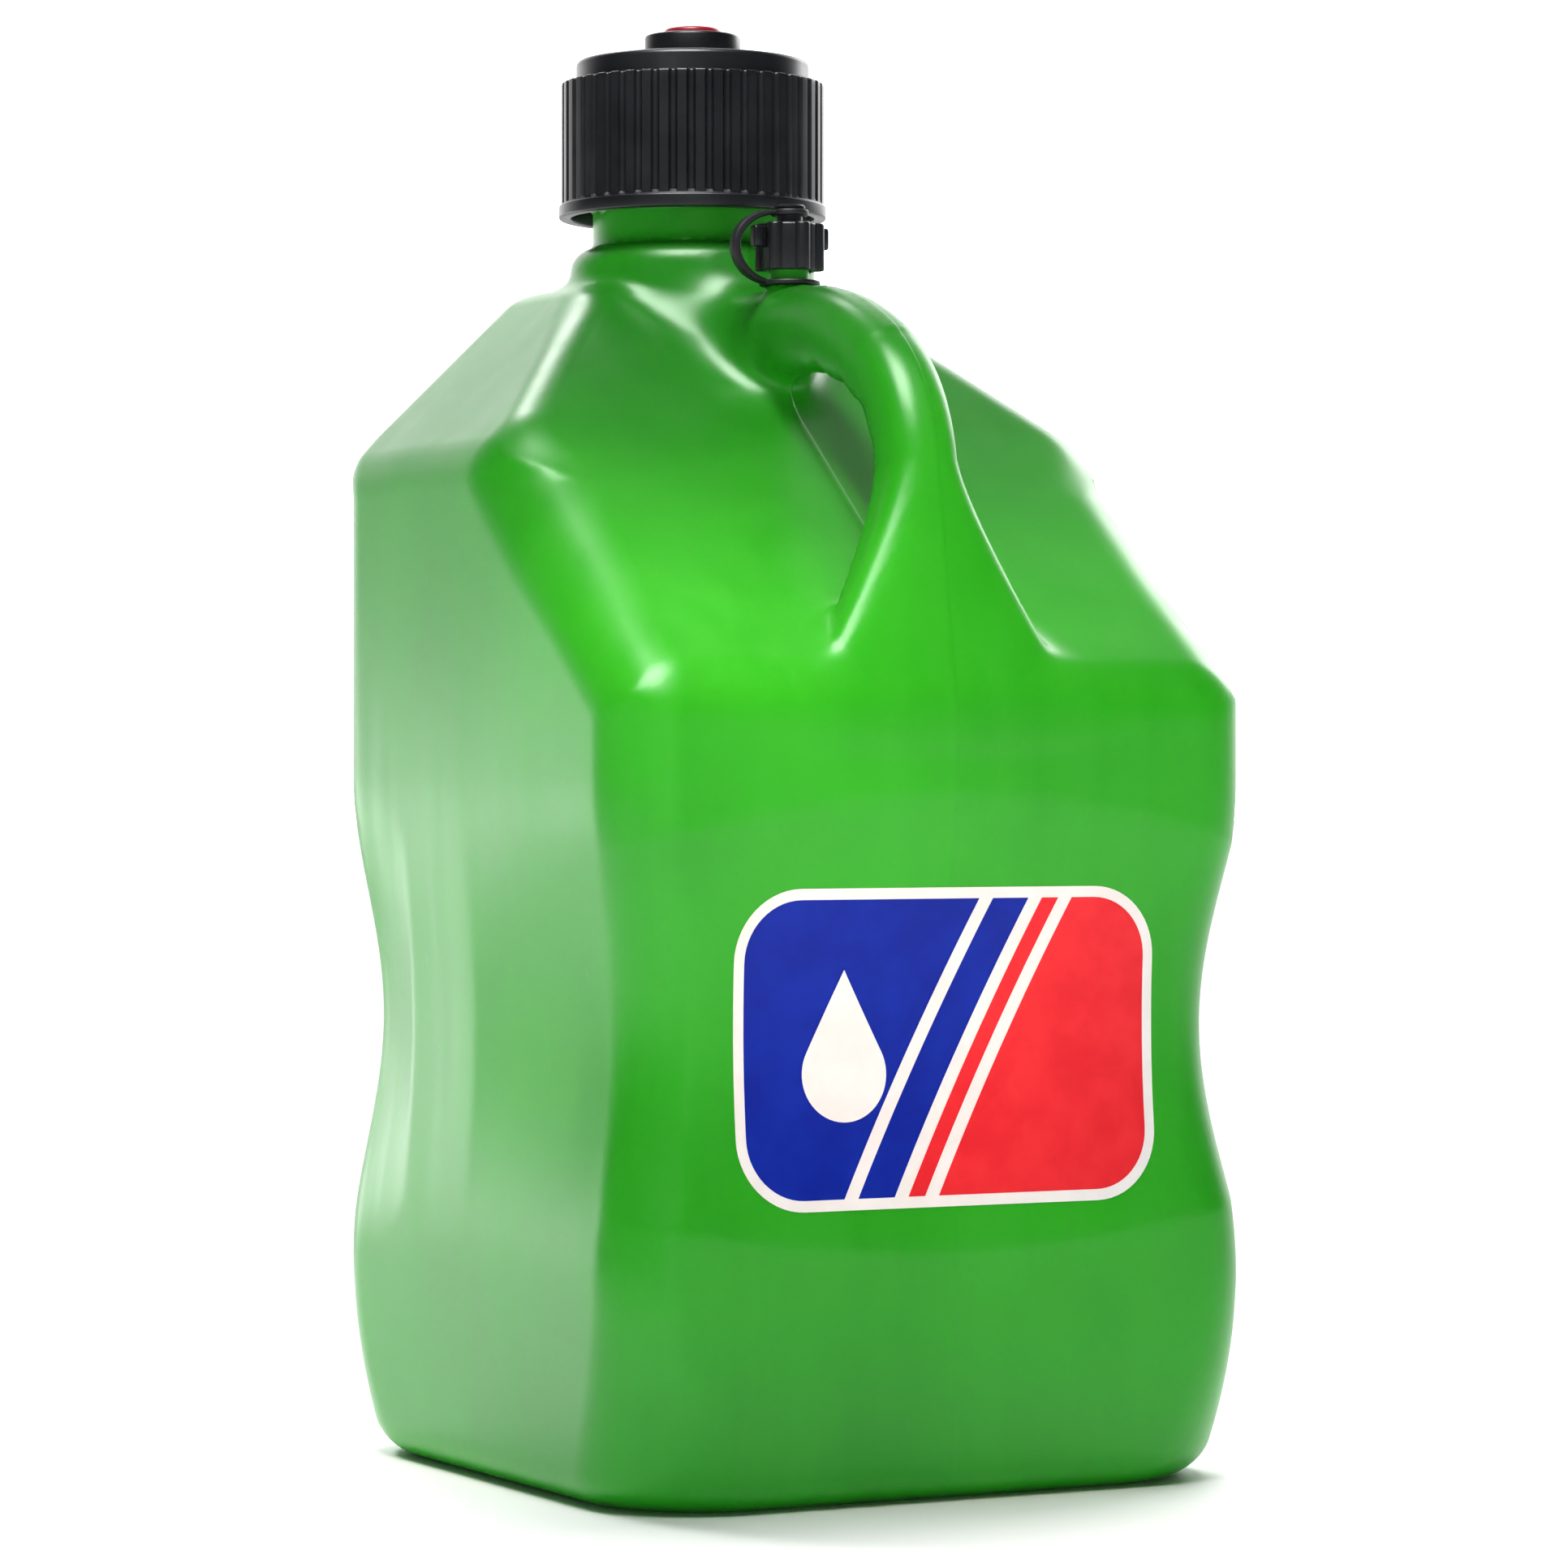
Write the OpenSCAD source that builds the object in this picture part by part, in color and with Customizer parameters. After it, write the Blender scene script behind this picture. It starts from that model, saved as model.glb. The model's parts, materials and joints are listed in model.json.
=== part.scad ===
// Square utility fuel jug: a blow-moulded bottle with a waist, a sloping front, a hollow
// carrying handle on the centre line, a wide threaded neck with a fluted screw cap, a small
// port in the middle of the cap, and a tethered vent cap on the root of the handle.
// Origin: centre of the base. +Z up, the handle and the label face -Y.

/* [Bottle] */
// Width and depth of the square body
body_w = 262; // [250:1:280]
// Height of the shoulder, where the front starts to slope back
shoulder_h = 287; // [275:1:300]
// Height of the eaves, where the two sides start to slope in
eave_h = 377; // [370:1:385]
// Height of the small deck that carries the neck
deck_h = 450; // [446:1:454]
// Depth of the waist pressed into the left and right sides
waist_d = 11.5; // [0:0.5:14]
// Height of the narrowest level of the waist
waist_z = 168; // [150:1:185]
// Depth of the dished panel on the front
front_dish = 7.5; // [0:0.5:10]
// Depth of the dished panel on the back
back_dish = 3; // [0:0.5:6]
// Radius of the upright corners
corner_r = 30; // [20:1:36]
// Wall thickness
wall = 3; // [2:0.25:4]

/* [Handle] */
// Height of the straight top run of the handle above the base, at its centre
handle_z = 428; // [425:0.5:429]
// Half width of the grip, from side to side
grip_a = 14; // [12:0.5:16]
// Half thickness of the grip
grip_b = 15.5; // [13:0.5:17]
// Half width that the handle's foot flares to, inside the shoulder
foot_a = 64; // [46:1:68]

/* [Neck and cap] */
// Distance of the neck's axis behind the centre
neck_y = 78; // [76:0.5:78]
// Radius of the plain neck below the thread
neck_r = 39; // [37:0.5:40]
// Radius of the mouth
mouth_r = 35.5; // [30:0.5:36]
// Height of the neck's rim
rim_z = 526.5; // [524:0.5:527]
// Lead of the neck's thread
lead = 8; // [7:0.5:9]
// Largest radius of the screw cap, at its lip
cap_r = 52.4; // [51:0.2:53]
// Number of grip flutes round the cap
flutes = 46; // [24:2:60]

/* [Vent] */
// Position of the vent's axis, in front of the centre
vent_y = -3.5; // [-8:0.5:0]
// Radius of the vent spout
vent_r = 7.3; // [6:0.1:8]
// Lead of the vent's thread
vent_lead = 4; // [3:0.5:4]

/* [Label] */
// Half width of the label
label_a = 86; // [60:1:87]
// Half height of the label
label_b = 57; // [40:1:60]
// Height of the label's centre
label_z = 163; // [160:1:170]
// Radius of the label's corners
label_r = 26; // [5:1:38]

/* [Hidden] */

half_w = body_w / 2;
front_rise = 0.887; // height gained per unit of depth on the sloping front
side_rise = 0.947; // height gained per unit of width on the sloping sides
waist_h = 92; // half height of the waist
dish_z = 172; // middle of the dished panels
dish_h = 81; // half height of the dished panels
base_r = 14; // radius of the bottom edge
deck_r = 7; // radius of the deck's edge
slant_wall = 1.4; // a sloping wall is this much thicker when measured level
arc_n = 8; // facets in a quarter turn of a section's corner
gap = 0.1; // clearance between a seal and the rim below it

// Neck and cap levels
collar_r = 47.8;
collar_z = 466;
thread_r = 42.5;
ridge_h = 2.8;
thread_z0 = 490;
neck_turns = 2.25;
cap_turns = 1.75;
lip_z = 478;
skirt_in_r = 47.6;
flute_z = 483;
cap_top_z = 539.6;
step_r = 45.6;
gasket_t = 3;
gasket_z = rim_z + gap;
cap_in_z = gasket_z + gasket_t + gap;
cap_edge_z = 531;
seat_r = 44.3;
seat_in_r = 31;
recess_z = 534.4;

// Port in the cap's centre
boss_r = 14.6;
port_bore_r = 10;
port_z = 545.6;
seal_t = 1;
plug_flange_z = port_z + gap + seal_t;
plug_flange_t = 1.4;
plug_top_z = 553.2;
nut_r = 18.8;
nut_z = 540;
nut_top_z = 550;

// Vent levels
pad_z = 445.2;
vent_rim_z = 463;
vent_turns = 1.5;
vent_cap_z = 451;
vent_cap_top = 469;
vent_gasket_t = 1.6;
stem_r = 4.8;
eye_z = 471.4;
eye_top_z = 474.4;

// Sums and blends ---------------------------------------------------------------------------

function smooth_max(a, b, k) = max(a, b) + pow(max(k - abs(a - b), 0), 2) / (4 * k);

function waist(z) =
    abs(z - waist_z) > waist_h ? 0 : waist_d * (1 + cos(180 * (z - waist_z) / waist_h)) / 2;

function dish(z, depth) = depth * max(0, 1 - pow((z - dish_z) / dish_h, 2));

// Inset of a side near the base: a light taper, then the rounded bottom edge
function base_in(z) =
    4 * pow(max(0, 1 - z / 60), 2)
    + (z < base_r ? base_r - sqrt(base_r * base_r - pow(base_r - z, 2)) : 0);

// Inset near the deck's rounded edge
function deck_in(z, top) =
    z > top - deck_r ? deck_r - sqrt(deck_r * deck_r - pow(z - top + deck_r, 2)) : 0;

function side_in(z, t) =
    smooth_max(waist(z) + base_in(z - t) + t, (z - eave_h) / side_rise + slant_wall * t, 16);

function front_in(z, t) =
    smooth_max(
        dish(z, front_dish) + base_in(z - t) + t,
        (z - shoulder_h) / front_rise + slant_wall * t,
        14
    );

function back_in(z, t) = dish(z, back_dish) + base_in(z - t) + t;

function corner(z, t) = corner_r - t + 24 * pow(max(0, 1 - z / 75), 1.5);

// Points of one quarter of a corner, from angle a0, about the centre (cx, cy)
function quarter(cx, cy, r, a0, z) =
    [for (i = [0:arc_n]) [cx + r * cos(a0 + 90 * i / arc_n), cy + r * sin(a0 + 90 * i / arc_n), z]];

// Level section of the bottle, t inside its outer face
function section(z, t) =
    let (
        d = deck_in(z, deck_h - t),
        hx = half_w - side_in(z, t) - d,
        y0 = -half_w + front_in(z, t) + d,
        y1 = half_w - back_in(z, t) - d,
        r = min(corner(z, t), hx - 1, (y1 - y0) / 2 - 1)
    )
    concat(
        quarter(hx - r, y1 - r, r, 0, z),
        quarter(-hx + r, y1 - r, r, 90, z),
        quarter(-hx + r, y0 + r, r, 180, z),
        quarter(hx - r, y0 + r, r, 270, z)
    );

// Levels of the sections, closer together where the outline turns
function levels(t) = concat(
    [for (a = [0:15:90]) t + base_r * (1 - cos(a))],
    [22, 32, 45, 60],
    [for (i = [0:14]) 76 + i * 13.2],
    [268, 276, 282, 287, 292, 298, 306, 318, 332, 346, 358, 366, 372, 377, 382, 388, 396],
    [408, 420, 432],
    [for (a = [0:15:90]) deck_h - t - deck_r + deck_r * sin(a)]
);

// Solid through a list of closed rings of equal length, flat at both ends
module loft(rings) {
    n = len(rings[0]);
    m = len(rings);
    points = [for (ring = rings) for (p = ring) p];
    walls = [
        for (j = [0:m - 2])
        for (i = [0:n - 1])
        let (a = j * n + i, b = j * n + (i + 1) % n)
        for (f = [[a, b + n, b], [a, a + n, b + n]]) f
    ];
    ends = [[for (i = [0:n - 1]) i], [for (i = [n - 1:-1:0]) (m - 1) * n + i]];
    polyhedron(points, concat(ends, walls));
}

// Handle ------------------------------------------------------------------------------------

root_y = 40; // rear end of the handle, inside the neck's collar
crown_y = -16; // where the straight run ends
crown_r = 115; // radius of the gentle bend over the crown
crown_end = 32; // angle that the crown turns through
grip_r = 52; // radius of the tighter bend down into the grip
grip_end = 84; // slope of the handle where the grip ends
foot_y = -118; // centre of the foot, front to back
foot_z = 276; // lower end of the foot, inside the shoulder
foot_steps = 12;

grip_y = crown_y - crown_r * sin(crown_end);
grip_z = handle_z - crown_r * (1 - cos(crown_end));
foot_top_y = grip_y - grip_r * (sin(grip_end) - sin(crown_end));
foot_top_z = grip_z - grip_r * (cos(crown_end) - cos(grip_end));

// Centre line of the handle as stations [y, z, slope, half width, half thickness]
function root_stations() =
    [for (y = [root_y, 22, 4]) [y, handle_z, 0, grip_a + max(0, y) / 6, grip_b + 1]];
function crown_stations() =
    [for (a = [0:crown_end / 6:crown_end])
        [crown_y - crown_r * sin(a), handle_z - crown_r * (1 - cos(a)), a, grip_a, grip_b + 0.5]];
function grip_stations() =
    [for (i = [1:8])
        let (a = crown_end + (grip_end - crown_end) * i / 8)
        [
            grip_y - grip_r * (sin(a) - sin(crown_end)),
            grip_z - grip_r * (cos(crown_end) - cos(a)),
            a,
            grip_a,
            grip_b
        ]];
function foot_stations() =
    [for (i = [1:foot_steps])
        let (s = i / foot_steps, flare = pow(s, 1.55))
        [
            foot_top_y + (foot_y - foot_top_y) * s,
            foot_top_z + (foot_z - foot_top_z) * s,
            grip_end + (90 - grip_end) * s,
            grip_a + (foot_a - grip_a) * flare,
            grip_b - 4 * s
        ]];
stations = concat(root_stations(), crown_stations(), grip_stations(), foot_stations());

// Rounded section of the handle at a station, t inside its outer face
function grip_ring(st, t) =
    [for (i = [0:19])
        let (
            a = 18 * i,
            u = (st[3] - t) * sign(cos(a)) * pow(abs(cos(a)), 0.8),
            v = (st[4] - t) * sign(sin(a)) * pow(abs(sin(a)), 0.8)
        )
        [u, st[0] + v * -sin(st[2]), st[1] + v * cos(st[2])]];

// Threads -----------------------------------------------------------------------------------

// Helical ridge from its root radius r0 to its crest radius r1, outwards or inwards. Its middle
// is at height z0 where it starts.
module ridge(r0, r1, z0, pitch, turns, root_h, crest_h) {
    steps = round(turns * 32);
    up = sign(r0 - r1);
    loft([
        for (i = [0:steps])
        let (
            a = 360 * turns * i / steps,
            z = z0 + pitch * a / 360,
            fade = min(1, (i + 0.5) / 4, (steps - i + 0.5) / 4),
            r = r0 + (r1 - r0) * fade,
            c = cos(a),
            s = sin(a)
        )
        [
            [r0 * c, r0 * s, z - up * root_h],
            [r * c, r * s, z - up * crest_h],
            [r * c, r * s, z + up * crest_h],
            [r0 * c, r0 * s, z + up * root_h]
        ]
    ]);
}

module at_neck() {
    translate([0, neck_y, 0]) children();
}

module at_vent() {
    translate([0, vent_y, 0]) children();
}

module ring(r_out, r_in, z0, z1) {
    translate([0, 0, z0]) difference() {
        cylinder(r = r_out, h = z1 - z0, $fn = 96);
        translate([0, 0, -1]) cylinder(r = r_in, h = z1 - z0 + 2, $fn = 96);
    }
}

// Sub-parts ---------------------------------------------------------------------------------

module neck_solid() {
    rotate_extrude($fn = 96) polygon([
        [0, deck_h - 30],
        [collar_r, deck_h - 30],
        [collar_r, deck_h + 4],
        [collar_r - 2.2, collar_z - 3],
        [collar_r - 4.5, collar_z],
        [neck_r, collar_z + 1.5],
        [neck_r, thread_z0 - 10],
        [thread_r, thread_z0 - 7],
        [thread_r, rim_z - 1],
        [thread_r - 1, rim_z],
        [0, rim_z]
    ]);
}

// Blow-moulded bottle: body, handle, neck and vent spout in one piece
module container_body() {
    color([0.17, 0.62, 0.16]) {
        difference() {
            union() {
                loft([for (z = levels(0)) section(z, 0)]);
                loft([for (st = stations) grip_ring(st, 0)]);
                at_neck() neck_solid();
                at_vent() {
                    translate([0, 0, handle_z]) cylinder(r = vent_r + 1.7, h = pad_z - handle_z, $fn = 48);
                    translate([0, 0, handle_z]) cylinder(r = vent_r, h = vent_rim_z - handle_z, $fn = 48);
                }
            }
            loft([for (z = levels(wall)) section(z, wall)]);
            loft([for (i = [1:len(stations) - 1]) grip_ring(stations[i], wall)]);
            at_neck() translate([0, 0, deck_h - 25]) cylinder(r = mouth_r, h = 120, $fn = 96);
            at_vent() translate([0, 0, handle_z]) cylinder(r = vent_r - 2.6, h = 60, $fn = 48);
        }
        at_neck() ridge(thread_r - 1, thread_r + ridge_h, thread_z0, lead, neck_turns, 2.2, 1);
        at_vent() ridge(vent_r - 0.6, vent_r + 0.7, vent_cap_z + 2, vent_lead, vent_turns, 0.8, 0.3);
    }
}

// Half width of the label at a height dz above or below its centre
function label_w(dz) =
    let (over = max(0, abs(dz) - label_b + label_r))
    label_a - label_r + sqrt(max(0, label_r * label_r - over * over));

// Thin printed film on the front, following its dished panel
module front_label() {
    rows = 32;
    film = 0.3;
    off = 0.15;
    color([0.9, 0.9, 0.92]) loft([
        for (i = [0:rows])
        let (
            dz = label_b * sin(-90 + 180 * i / rows),
            z = label_z + dz,
            w = label_w(dz),
            y = -half_w + dish(z, front_dish) - off
        )
        [[-w, y - film, z], [w, y - film, z], [w, y, z], [-w, y, z]]
    ]);
}

// Soft washer between the cap and the neck's rim
module cap_gasket() {
    color([0.75, 0.73, 0.68]) at_neck()
        ring(seat_r - 0.3, seat_in_r + 0.5, gasket_z, gasket_z + gasket_t);
}

module cap_profile() {
    polygon([
        [port_bore_r, recess_z],
        [seat_in_r, recess_z],
        [seat_in_r, cap_in_z],
        [seat_r, cap_in_z],
        [seat_r, rim_z - 3],
        [skirt_in_r, rim_z - 6],
        [skirt_in_r, lip_z + 1],
        [skirt_in_r + 1, lip_z],
        [cap_r - 0.8, lip_z],
        [cap_r, lip_z + 0.8],
        [cap_r, flute_z - 0.6],
        [cap_r - 1, flute_z],
        [cap_r - 1, cap_edge_z - 0.8],
        [cap_r - 1.8, cap_edge_z],
        [step_r + 1.2, cap_edge_z],
        [step_r, cap_edge_z + 0.8],
        [step_r, cap_top_z - 1.6],
        [step_r - 1.6, cap_top_z],
        [boss_r, cap_top_z],
        [boss_r, port_z],
        [port_bore_r, port_z]
    ]);
}

// Fluted screw cap with a ported boss in the middle of its top
module screw_cap() {
    color([0.05, 0.05, 0.06]) at_neck() {
        difference() {
            rotate_extrude($fn = 192) cap_profile();
            for (i = [0:flutes - 1])
                rotate([0, 0, 360 * i / flutes])
                    translate([cap_r - 0.4, 0, flute_z + 0.4])
                        cylinder(r = 1.7, h = 60, $fn = 16);
        }
        ridge(skirt_in_r + 0.8, thread_r + 0.6, thread_z0 + lead / 2, lead, cap_turns, 2.2, 1);
    }
}

// Red plug that closes the port
module port_plug() {
    color([0.8, 0.08, 0.13]) at_neck() {
        translate([0, 0, plug_flange_z]) cylinder(r = 14.4, h = plug_flange_t, $fn = 96);
        translate([0, 0, plug_flange_z]) cylinder(r = 11, h = plug_top_z - plug_flange_z, $fn = 96);
        translate([0, 0, cap_in_z + 1]) cylinder(r = 8.6, h = plug_flange_z - cap_in_z, $fn = 96);
    }
}

// Sealing ring under the plug's flange
module port_seal() {
    color([0.12, 0.12, 0.12]) at_neck() ring(13.6, 8.7, port_z + gap, plug_flange_z);
}

// Ring nut that holds the plug down on the boss
module port_nut() {
    seat_z = plug_flange_z + plug_flange_t + gap;
    color([0.05, 0.05, 0.06]) at_neck() rotate_extrude($fn = 96) polygon([
        [boss_r + 0.3, nut_z],
        [nut_r - 0.5, nut_z],
        [nut_r, nut_z + 0.5],
        [nut_r, nut_top_z - 1],
        [nut_r - 1, nut_top_z],
        [11.3, nut_top_z],
        [11.3, seat_z],
        [boss_r + 0.3, seat_z]
    ]);
}

// Soft disc that seals the vent spout
module vent_gasket() {
    color([0.75, 0.73, 0.68]) at_vent()
        translate([0, 0, vent_rim_z + gap]) cylinder(r = vent_r, h = vent_gasket_t, $fn = 48);
}

// Vent cap: a round core with grip lobes, two wings and a stem for the tether
module vent_cap() {
    core_r = 10.6;
    bore_r = 8.4;
    lobes = 6;
    wing_z = 459.5;
    color([0.05, 0.05, 0.06]) at_vent() difference() {
        union() {
            translate([0, 0, vent_cap_z]) cylinder(r = core_r, h = vent_cap_top - vent_cap_z - 1, $fn = 64);
            translate([0, 0, vent_cap_z]) cylinder(r = core_r - 1.4, h = vent_cap_top - vent_cap_z, $fn = 64);
            for (i = [0:lobes - 1])
                rotate([0, 0, 360 * (i + 0.5) / lobes])
                    translate([core_r - 0.6, 0, vent_cap_z])
                        cylinder(r = 3.1, h = vent_cap_top - vent_cap_z - 1.6, $fn = 32);
            for (side = [-1, 1])
                translate([side * 11 - 4.9, -2, wing_z])
                    cube([9.8, 4, vent_cap_top - wing_z - 1.4]);
            translate([0, 0, vent_cap_top - 1]) cylinder(r = stem_r, h = eye_top_z + 1.4 - vent_cap_top, $fn = 48);
            translate([0, 0, eye_top_z + 0.3]) cylinder(r = stem_r + 1.1, h = 1.3, $fn = 48);
        }
        translate([0, 0, vent_cap_z - 1])
            cylinder(r = bore_r, h = vent_rim_z + 2 * gap + vent_gasket_t - vent_cap_z + 1, $fn = 64);
    }
}

tether_w = 5; // width of the strap
tether_t = 2.4; // thickness of the strap
tether_out = 23; // how far the strap bows out from the vent's axis
strap_in = 7.8; // distance of the strap's two ends from the vent's axis
eye_r = 9; // outer radius of the upper eye

// Strap between the vent spout and the vent cap, with an eye at each end
module vent_tether() {
    eye_mid = (eye_z + eye_top_z) / 2;
    low_mid = pad_z + gap + 1;
    rise = (eye_mid - low_mid) / 2;
    color([0.05, 0.05, 0.06]) at_vent() {
        ring(11.6, vent_r + 0.2, pad_z + gap, pad_z + gap + 2);
        ring(eye_r, stem_r + 0.2, eye_z, eye_top_z);
        loft([
            for (i = [0:16])
            let (
                a = 90 + 180 * i / 16,
                x = -strap_in + (tether_out - strap_in) * cos(a),
                z = low_mid + rise + rise * sin(a),
                h = tether_w / 2,
                nx = cos(a) * tether_t / 2,
                nz = sin(a) * tether_t / 2
            )
            [[x + nx, -h, z + nz], [x + nx, h, z + nz], [x - nx, h, z - nz], [x - nx, -h, z - nz]]
        ]);
    }
}

container_body();
front_label();
cap_gasket();
screw_cap();
port_plug();
port_seal();
port_nut();
vent_gasket();
vent_cap();
vent_tether();
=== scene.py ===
import json
import math

import bmesh
import bpy
import numpy as np
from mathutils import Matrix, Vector


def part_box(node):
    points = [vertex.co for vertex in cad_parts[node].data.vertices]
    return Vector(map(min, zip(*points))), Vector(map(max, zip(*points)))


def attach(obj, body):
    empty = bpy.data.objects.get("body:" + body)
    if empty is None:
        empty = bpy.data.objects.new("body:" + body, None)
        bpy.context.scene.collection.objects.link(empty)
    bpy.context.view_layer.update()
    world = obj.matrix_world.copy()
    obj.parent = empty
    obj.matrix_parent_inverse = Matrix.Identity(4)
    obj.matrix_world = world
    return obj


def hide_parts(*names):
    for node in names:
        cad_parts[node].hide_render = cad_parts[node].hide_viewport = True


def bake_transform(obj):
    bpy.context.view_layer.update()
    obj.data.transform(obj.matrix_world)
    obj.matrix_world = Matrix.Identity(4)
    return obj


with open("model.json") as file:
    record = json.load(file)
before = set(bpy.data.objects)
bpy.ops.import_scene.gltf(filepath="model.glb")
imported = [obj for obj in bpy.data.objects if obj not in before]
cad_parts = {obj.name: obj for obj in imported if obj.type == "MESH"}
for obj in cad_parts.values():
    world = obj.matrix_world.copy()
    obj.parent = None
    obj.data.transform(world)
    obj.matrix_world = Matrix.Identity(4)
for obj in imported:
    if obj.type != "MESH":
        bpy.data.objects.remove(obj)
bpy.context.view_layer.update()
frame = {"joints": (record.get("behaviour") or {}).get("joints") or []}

# Lengths below are in millimetres, in the CAD's frame; meshes are scaled to metres when made.
MM = 0.001
JOINTS = {j["name"]: j for j in frame["joints"]}
HALF = round(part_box("container_body")[1].x / MM, 3)  # half width of the square bottle
NECK_Y = JOINTS["cap_turn"]["pos_m"][1] / MM
VENT_Y = JOINTS["vent_turn"]["pos_m"][1] / MM
CAP_LOW, CAP_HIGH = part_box("screw_cap")
CAP_R = round((CAP_HIGH.x - CAP_LOW.x) / 2 / MM, 2)
PLUG_TOP = round(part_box("port_plug")[1].z / MM, 2)
NUT_LOW, NUT_TOP = (round(corner.z / MM, 2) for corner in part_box("port_nut"))
CAP_TOP, PORT_Z = NUT_LOW - 0.4, NUT_TOP - 4.4

# Bottle: lower edges of the front and side slopes, top face, and how steep the slopes are
SHOULDER_Z, EAVE_Z, DECK_Z = 293.5, 378.5, 450.0
FRONT_RISE, SIDE_RISE = 0.84, 0.947
CORNER_R = 28.0
WALL = 3.0
# Waist: depth, middle and half height. On each side a rib, pinched by only a share of that
# depth, stands between RIB_FRONT and RIB_BACK, and the full depth is reached at WAIST_EDGE
WAIST_D, WAIST_Z, WAIST_H = 11.5, 168.0, 92.0
RIB_FRONT, RIB_BACK, RIB_DEPTH = 5.0, 61.0, 0.35
RIB_HALF_H, RIB_END, WAIST_EDGE = 62.0, 26.0, 101.0
# Shallow dishes in the front and back faces: depth, then lower and upper edge at the middle
DISH_FRONT, DISH_LOW, DISH_TOP, DISH_HALF_W = 7.5, 90.0, 254.0, 115.0
DISH_BACK, DISH_BACK_Z, DISH_BACK_H = 3.0, 172.0, 81.0
# Handle: its level root, the crown, the grip that bends down, and the foot that flares out
HANDLE_Z, GRIP_A, GRIP_B = 428.0, 14.0, 15.5
ROOT_Y, CROWN_Y, CROWN_R, GRIP_R = 40.0, -16.0, 115.0, 52.0
CROWN_END, GRIP_END = math.radians(32), math.radians(84)
FOOT_Y, FOOT_Z, FOOT_A, FLARE = -119.5, 276.0, 64.0, 1.3
FINGERS, FINGER_DEPTH = 4, 1.5
# Neck and its thread
COLLAR_R, COLLAR_Z = 47.8, 466.0
NECK_R, THREAD_R, RIDGE, RIM_Z, MOUTH_R = 39.0, 42.5, 2.8, 526.5, 35.5
THREAD_Z, LEAD, NECK_TURNS, CAP_TURNS = 490.0, 8.0, 2.25, 1.7
THREAD_HALF, FLANK, THREAD_STEP_Z = 2.2, 1.2, 480.0
# Vent spout, and the small round pad on the handle's root that it stands on
SPOUT_R, SPOUT_TOP, PAD_R, PAD_Z = 7.3, 463.0, 9.0, 445.1


def add_object(name, data):
    obj = bpy.data.objects.new(name, data)
    bpy.context.scene.collection.objects.link(obj)
    return obj


# Camera: level, at the photograph's angle --------------------------------------------------

AZIMUTH, DISTANCE, EYE_Z, LENS = 27.8, 2.015, 0.257, 122.05
TO_SIDE = 0.0005


def add_camera():
    a = math.radians(AZIMUTH)
    look = Vector((math.sin(a), math.cos(a), 0))
    right = Vector((math.cos(a), -math.sin(a), 0))
    data = bpy.data.cameras.new("camera")
    cam = add_object("camera", data)
    cam.location = -look * DISTANCE - right * TO_SIDE + Vector((0, 0, EYE_Z))
    cam.rotation_mode = "QUATERNION"
    cam.rotation_quaternion = look.to_track_quat("-Z", "Y")
    data.lens = LENS
    data.sensor_width = 36
    data.clip_start, data.clip_end = 0.05, 50
    bpy.context.scene.camera = cam


add_camera()


# Sums on distance fields -------------------------------------------------------------------


def clip01(t):
    return np.clip(t, 0, 1)


def smooth(t):
    t = clip01(t)
    return t * t * (3 - 2 * t)


def soft_min(a, b, k):
    """Joins two shapes with a fillet."""
    h = np.maximum(k - np.abs(a - b), 0)
    return np.minimum(a, b) - h * h / (4 * k)


def soft_max(a, b, k):
    return -soft_min(-a, -b, k)


def round_max(a, b, r):
    """Where two shapes overlap, with their common edge rounded."""
    u, v = np.maximum(a + r, 0), np.maximum(b + r, 0)
    return np.minimum(-r, np.maximum(a, b)) + np.sqrt(u * u + v * v)


def bell(z):
    """Depth of the waist."""
    t = np.clip((z - WAIST_Z) / WAIST_H, -1, 1)
    return WAIST_D * (1 + np.cos(np.pi * t)) / 2


def side_inset(y, z):
    """Depth of the waist on a side face, less where the rib stands."""
    end = RIB_END * smooth((np.abs(z - WAIST_Z) - RIB_HALF_H) / RIB_END)
    front = soft_max(0, (RIB_FRONT - end - y) / (RIB_FRONT + WAIST_EDGE), 0.03)
    back = soft_max(0, (y - RIB_BACK - end * 0.5) / (WAIST_EDGE - RIB_BACK), 0.06)
    share = RIB_DEPTH + (1 - RIB_DEPTH) * soft_min(1, front + back, 0.05)
    return bell(z) * share


def front_inset(ax, z):
    """Depth of the front face's dish, whose edges bow together towards the corners."""
    top = DISH_TOP - 16 * (ax / DISH_HALF_W) ** 2
    low = DISH_LOW + 12 * (ax / DISH_HALF_W) ** 2
    t = (z - (top + low) / 2) * 2 / (top - low)
    return DISH_FRONT * soft_max(0, 1 - t * t, 0.05)


def back_inset(z):
    return DISH_BACK * soft_max(0, 1 - ((z - DISH_BACK_Z) / DISH_BACK_H) ** 2, 0.08)


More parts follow.
